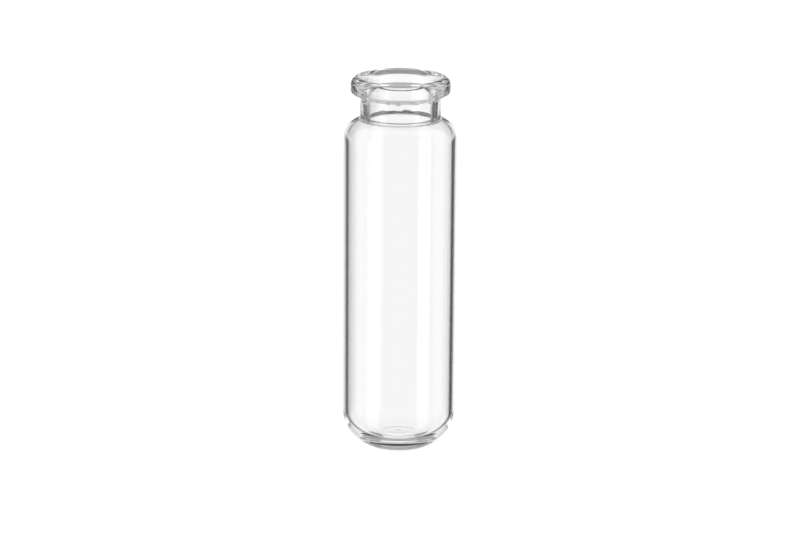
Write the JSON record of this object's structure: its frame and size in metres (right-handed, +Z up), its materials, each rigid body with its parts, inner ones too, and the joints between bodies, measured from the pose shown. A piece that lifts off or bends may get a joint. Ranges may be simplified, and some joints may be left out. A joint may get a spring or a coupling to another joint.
{
  "type": "glass sample vial",
  "caption": "Clear glass 20 ml headspace sample vial with a crimp flange and a round bottom, empty and uncapped.",
  "frame": {"origin": "on the surface it lies on, under the middle of its length", "axes": "+Y along the axis towards the mouth, +Z up, +X across"},
  "size_m": [0.0222, 0.076, 0.0222],
  "materials": {
    "clear_glass": "clear, fire polished"
  },
  "bodies": {
    "root": {"vial": "clear_glass"}
  },
  "joints": []
}
